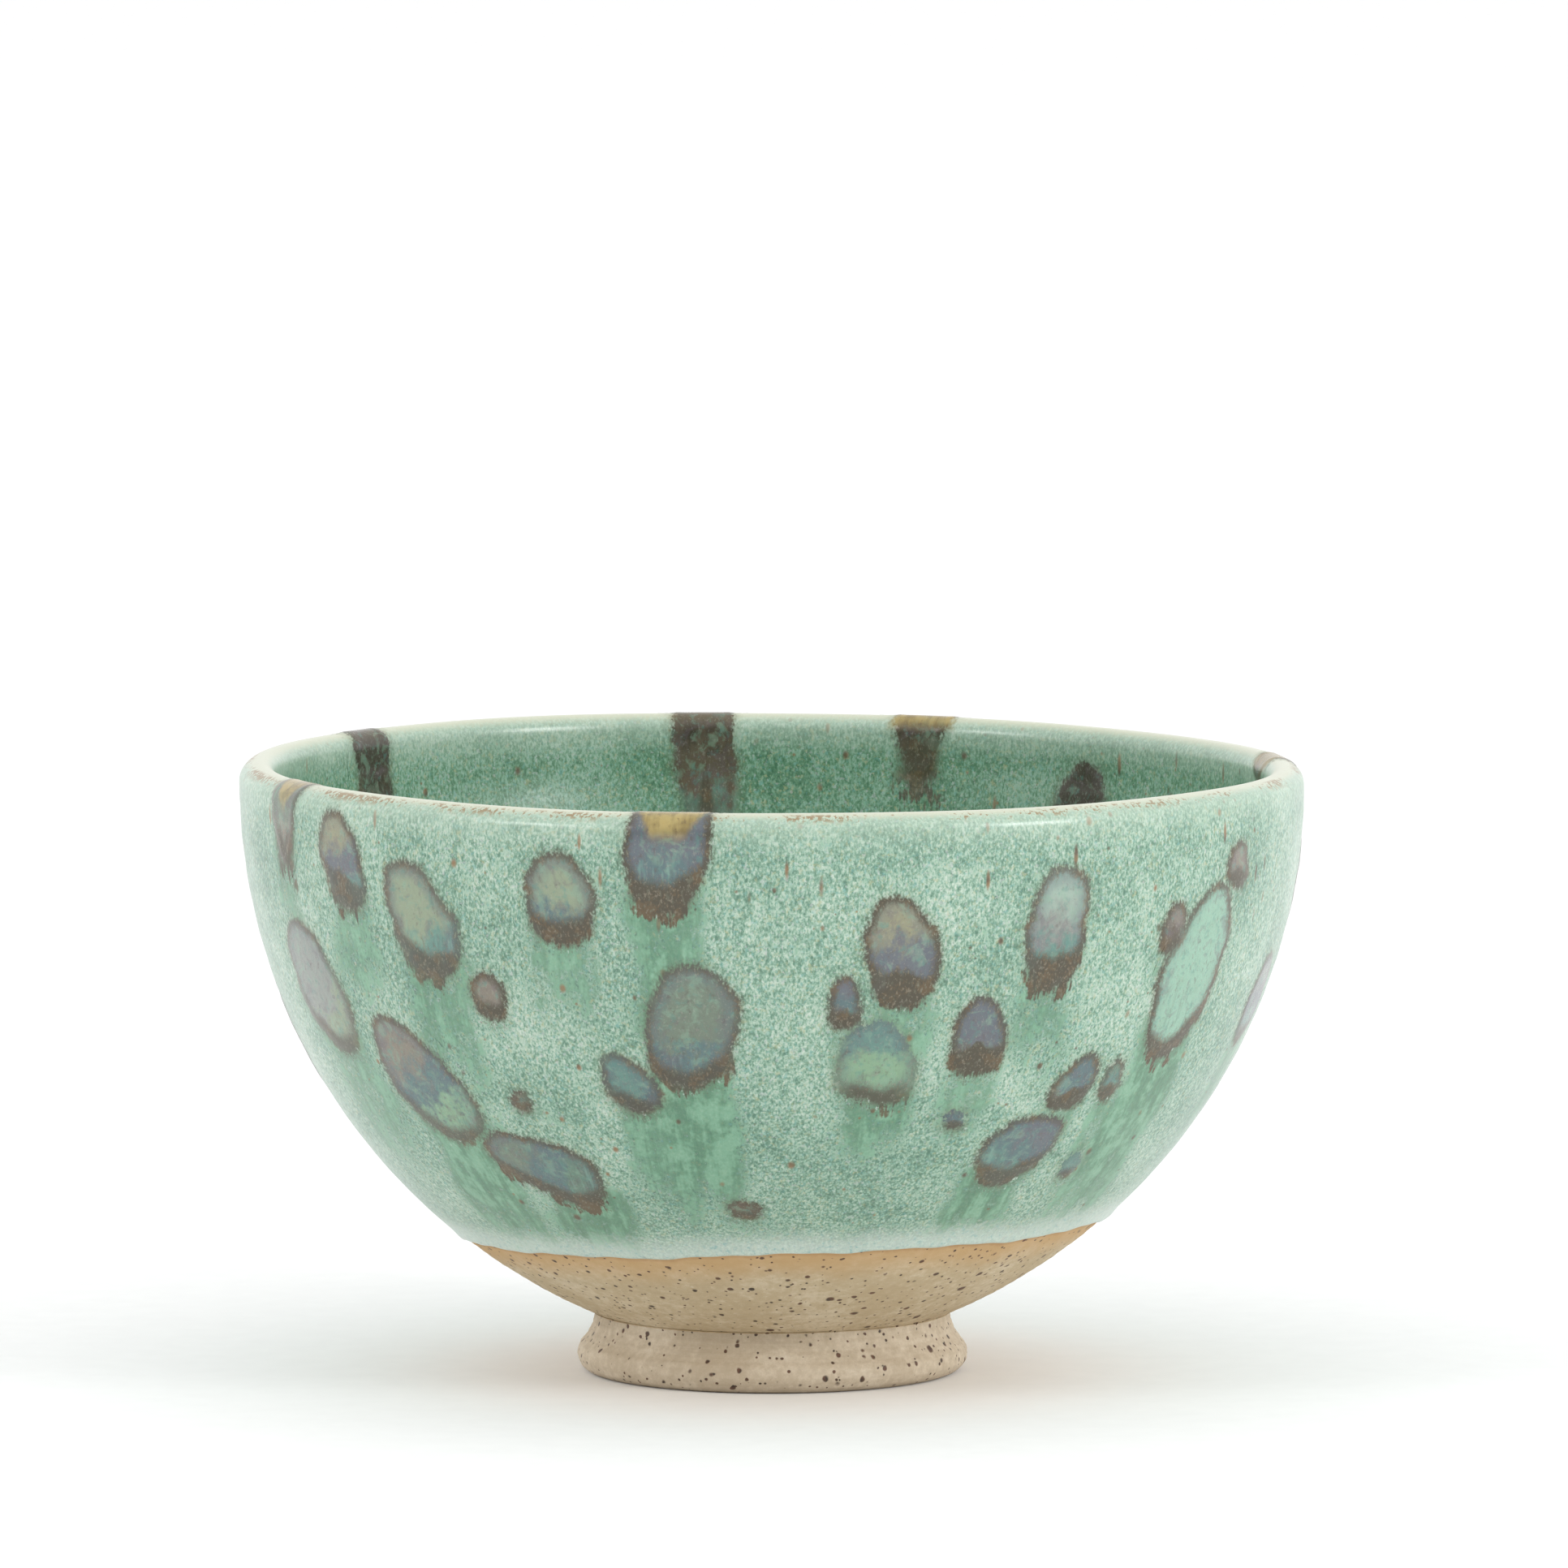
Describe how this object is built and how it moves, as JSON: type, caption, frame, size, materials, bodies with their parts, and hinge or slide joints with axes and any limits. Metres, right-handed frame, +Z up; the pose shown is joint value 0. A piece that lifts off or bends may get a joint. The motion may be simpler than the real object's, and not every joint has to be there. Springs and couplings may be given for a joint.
{
  "type": "matcha bowl",
  "caption": "Round stoneware tea bowl with a rounded rim, deep hemispherical hollow, glazed wall and a bare flared foot ring.",
  "frame": {"origin": "on the bowl's axis, at the level of the surface it stands on", "axes": "+Z up along the bowl's axis; -Y towards the side with the drop that runs over the rim near the middle; +X to the right of that side"},
  "size_m": [0.12, 0.12, 0.0692],
  "materials": {
    "bare_clay": "matte",
    "green_glaze": "satin",
    "drop_glaze": "satin"
  },
  "bodies": {
    "root": {"bowl_body": "bare_clay", "foot_ring": "bare_clay", "outer_glaze": "green_glaze", "liner_glaze": "green_glaze", "rim_drops": "drop_glaze", "outer_drops": "drop_glaze", "liner_drops": "drop_glaze"}
  },
  "joints": []
}
